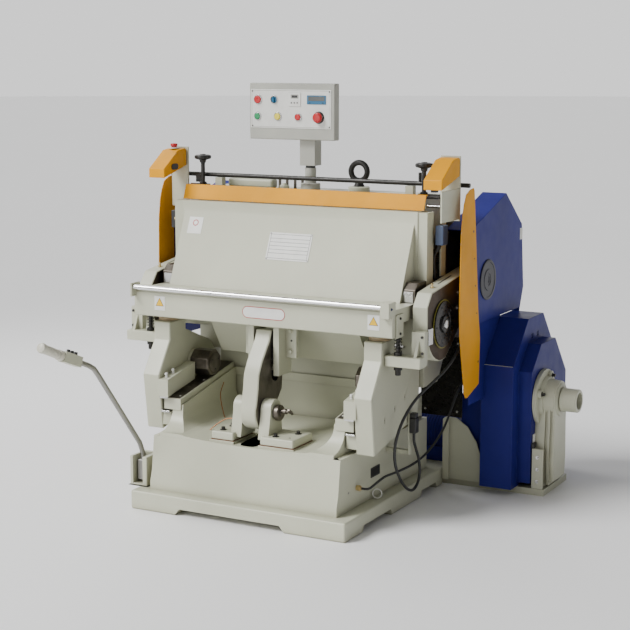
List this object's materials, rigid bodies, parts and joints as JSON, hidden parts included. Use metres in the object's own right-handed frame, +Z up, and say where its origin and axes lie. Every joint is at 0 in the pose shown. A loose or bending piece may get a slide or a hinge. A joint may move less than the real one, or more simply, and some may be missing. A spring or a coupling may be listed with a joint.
{
  "type": "platen die cutting machine",
  "caption": "Industrial clamshell creasing and die cutting press: cast base with sloping ways, sliding platen hinged to an upright bed, geared crank drive, console and guards.",
  "frame": {"origin": "on the underside of the base casting, midway between the two ways, 0.47 m behind the base's front edge", "axes": "+X to the machine's right as the operator faces it, +Y from the operator towards the back, +Z up"},
  "size_m": [1.7895, 2.0158, 1.742],
  "materials": {
    "cream_paint": "satin hammered",
    "yellow_paint": "gloss",
    "blue_paint": "gloss",
    "grey_paint": "satin",
    "black_steel": "satin",
    "dark_steel": "oiled, machined",
    "bright_steel": "ground",
    "tan_pad": "worn",
    "cable_rubber": "matte",
    "black_plastic": "matte",
    "red_plastic": "gloss",
    "green_plastic": "gloss",
    "amber_plastic": "gloss",
    "teal_plastic": "gloss"
  },
  "bodies": {
    "frame": {"base_casting": "cream_paint", "bed_casting": "cream_paint", "die_chase": "bright_steel", "pillow_block_left": "cream_paint", "pillow_block_right": "cream_paint", "arm_pin": "dark_steel", "gear_cover_left": "blue_paint", "gear_cover_right": "blue_paint", "drive_cover": "blue_paint", "drive_stand": "cream_paint", "motor": "blue_paint", "wedge_box_left": "yellow_paint", "wedge_box_right": "yellow_paint", "post_left": "cream_paint", "post_right": "cream_paint", "side_guard_left": "yellow_paint", "side_guard_right": "yellow_paint", "lifting_eye": "black_steel", "console_post": "grey_paint", "lever_housing": "cream_paint", "drive_cable": "cable_rubber", "control_cable": "cable_rubber", "cable_socket": "black_plastic"},
    "crank": {"crankshaft": "bright_steel", "bull_gear_left": "dark_steel", "bull_gear_right": "dark_steel"},
    "carriage": {"saddle_left": "cream_paint", "saddle_right": "cream_paint", "landing_pad_left": "tan_pad", "landing_pad_right": "tan_pad", "slide_block_left": "dark_steel", "slide_block_right": "dark_steel", "stop_bracket_left": "cream_paint", "stop_bracket_right": "cream_paint", "spring_bolt_left": "black_steel", "spring_bolt_right": "black_steel"},
    "platen": {"platen_casting": "cream_paint", "cutting_plate": "bright_steel", "front_bar": "bright_steel"},
    "safety_bar_body": {"safety_bar": "yellow_paint"},
    "drawbar_left_body": {"drawbar_left": "cream_paint"},
    "drawbar_right_body": {"drawbar_right": "cream_paint"},
    "guide_arm_body": {"guide_arm": "cream_paint"},
    "flywheel_body": {"flywheel": "dark_steel"},
    "lever": {"hand_lever": "cream_paint", "lever_grip": "cream_paint"},
    "lever_button_1_body": {"lever_button_1": "black_plastic"},
    "lever_button_2_body": {"lever_button_2": "black_plastic"},
    "lever_button_3_body": {"lever_button_3": "black_plastic"},
    "clamp": {"clamp_shaft": "black_steel"},
    "handwheel_left_body": {"handwheel_left": "black_steel"},
    "handwheel_right_body": {"handwheel_right": "black_steel"},
    "console": {"console_box": "grey_paint"},
    "start_button": {"start_button_red": "red_plastic"},
    "run_button": {"run_button_green": "green_plastic"},
    "jog_button": {"jog_button_amber": "amber_plastic"},
    "stop_button": {"stop_button_red": "red_plastic"},
    "console_estop_body": {"console_estop": "red_plastic"},
    "selector": {"mode_selector": "teal_plastic"},
    "wedge_estop_body": {"wedge_estop": "red_plastic"}
  },
  "joints": [
    {"name": "crank_turn", "type": "hinge", "parent": "frame", "child": "crank", "pos_m": [0, 0.405, 0.933], "axis": [1, 0, 0], "range_deg": [0, 180]},
    {"name": "carriage_slide", "type": "slide", "parent": "frame", "child": "carriage", "axis": [0, -0.9824, -0.1867], "range_m": [0, 0.1]},
    {"name": "platen_tilt", "type": "hinge", "parent": "carriage", "child": "platen", "pos_m": [0, -0.27, 0.78], "axis": [1, 0, 0], "range_deg": [0, 45]},
    {"name": "drawbar_left_pivot", "type": "hinge", "parent": "platen", "child": "drawbar_left_body", "pos_m": [-0.6475, 0.03, 0.8], "axis": [1, 0, 0], "range_deg": [-67, 0]},
    {"name": "drawbar_right_pivot", "type": "hinge", "parent": "platen", "child": "drawbar_right_body", "pos_m": [0.6475, 0.03, 0.8], "axis": [1, 0, 0], "range_deg": [-67, 0]},
    {"name": "arm_rock", "type": "hinge", "parent": "frame", "child": "guide_arm_body", "pos_m": [0, -0.28, 0.435], "axis": [1, 0, 0], "range_deg": [-1.5, 0]},
    {"name": "safety_bar_tip", "type": "hinge", "parent": "platen", "child": "safety_bar_body", "pos_m": [0, 0.0765, 1.2445], "axis": [1, 0, 0], "range_deg": [0, 10], "stiffness_Nm_per_rad": 20, "springref_deg": -5.73},
    {"name": "flywheel_spin", "type": "hinge", "parent": "frame", "child": "flywheel_body", "pos_m": [0, 0.62, 0.405], "axis": [1, 0, 0], "continuous": true},
    {"name": "clutch_lever", "type": "hinge", "parent": "frame", "child": "lever", "pos_m": [-0.511, -0.345, 0.135], "axis": [1, 0, 0], "range_deg": [0, 15]},
    {"name": "lever_button_1_press", "type": "slide", "parent": "lever", "child": "lever_button_1_body", "axis": [0, -0.3637, -0.9315], "range_m": [0, 0.004], "stiffness_N_per_m": 500, "springref_m": -0.003},
    {"name": "lever_button_2_press", "type": "slide", "parent": "lever", "child": "lever_button_2_body", "axis": [0, -0.3637, -0.9315], "range_m": [0, 0.004], "stiffness_N_per_m": 500, "springref_m": -0.003},
    {"name": "lever_button_3_press", "type": "slide", "parent": "lever", "child": "lever_button_3_body", "axis": [0, -0.3637, -0.9315], "range_m": [0, 0.004], "stiffness_N_per_m": 500, "springref_m": -0.003},
    {"name": "clamp_turn", "type": "hinge", "parent": "frame", "child": "clamp", "pos_m": [0, 0.197, 1.342], "axis": [1, 0, 0], "range_deg": [-20, 40]},
    {"name": "handwheel_left_turn", "type": "hinge", "parent": "frame", "child": "handwheel_left_body", "pos_m": [-0.53, 0.17, 1.3], "axis": [0, 0, 1], "continuous": true},
    {"name": "handwheel_right_turn", "type": "hinge", "parent": "frame", "child": "handwheel_right_body", "pos_m": [0.53, 0.17, 1.3], "axis": [0, 0, 1], "continuous": true},
    {"name": "console_swivel", "type": "hinge", "parent": "frame", "child": "console", "pos_m": [-0.04, 0.255, 1.45], "axis": [0, 0, 1], "range_deg": [-60, 60]},
    {"name": "start_button_press", "type": "slide", "parent": "console", "child": "start_button", "axis": [0, 1, 0], "range_m": [0, 0.004], "stiffness_N_per_m": 500, "springref_m": -0.003},
    {"name": "run_button_press", "type": "slide", "parent": "console", "child": "run_button", "axis": [0, 1, 0], "range_m": [0, 0.004], "stiffness_N_per_m": 500, "springref_m": -0.003},
    {"name": "jog_button_press", "type": "slide", "parent": "console", "child": "jog_button", "axis": [0, 1, 0], "range_m": [0, 0.004], "stiffness_N_per_m": 500, "springref_m": -0.003},
    {"name": "stop_button_press", "type": "slide", "parent": "console", "child": "stop_button", "axis": [0, 1, 0], "range_m": [0, 0.004], "stiffness_N_per_m": 500, "springref_m": -0.003},
    {"name": "console_estop_press", "type": "slide", "parent": "console", "child": "console_estop_body", "axis": [0, 1, 0], "range_m": [0, 0.004], "stiffness_N_per_m": 500, "springref_m": -0.003},
    {"name": "mode_selector_turn", "type": "hinge", "parent": "console", "child": "selector", "pos_m": [-0.185, 0.19, 1.672], "axis": [0, 1, 0], "range_deg": [-45, 45]},
    {"name": "wedge_estop_press", "type": "slide", "parent": "frame", "child": "wedge_estop_body", "axis": [0, 0, -1], "range_m": [0, 0.004], "stiffness_N_per_m": 500, "springref_m": -0.003}
  ],
  "couplings": [
    {"joint": "carriage_slide", "follows": "crank_turn", "m_per_rad": 0.0318},
    {"joint": "platen_tilt", "follows": "crank_turn", "ratio": 0.25},
    {"joint": "drawbar_left_pivot", "follows": "crank_turn", "ratio": -0.3717},
    {"joint": "drawbar_right_pivot", "follows": "crank_turn", "ratio": -0.3717},
    {"joint": "arm_rock", "follows": "crank_turn", "ratio": -0.0083}
  ]
}
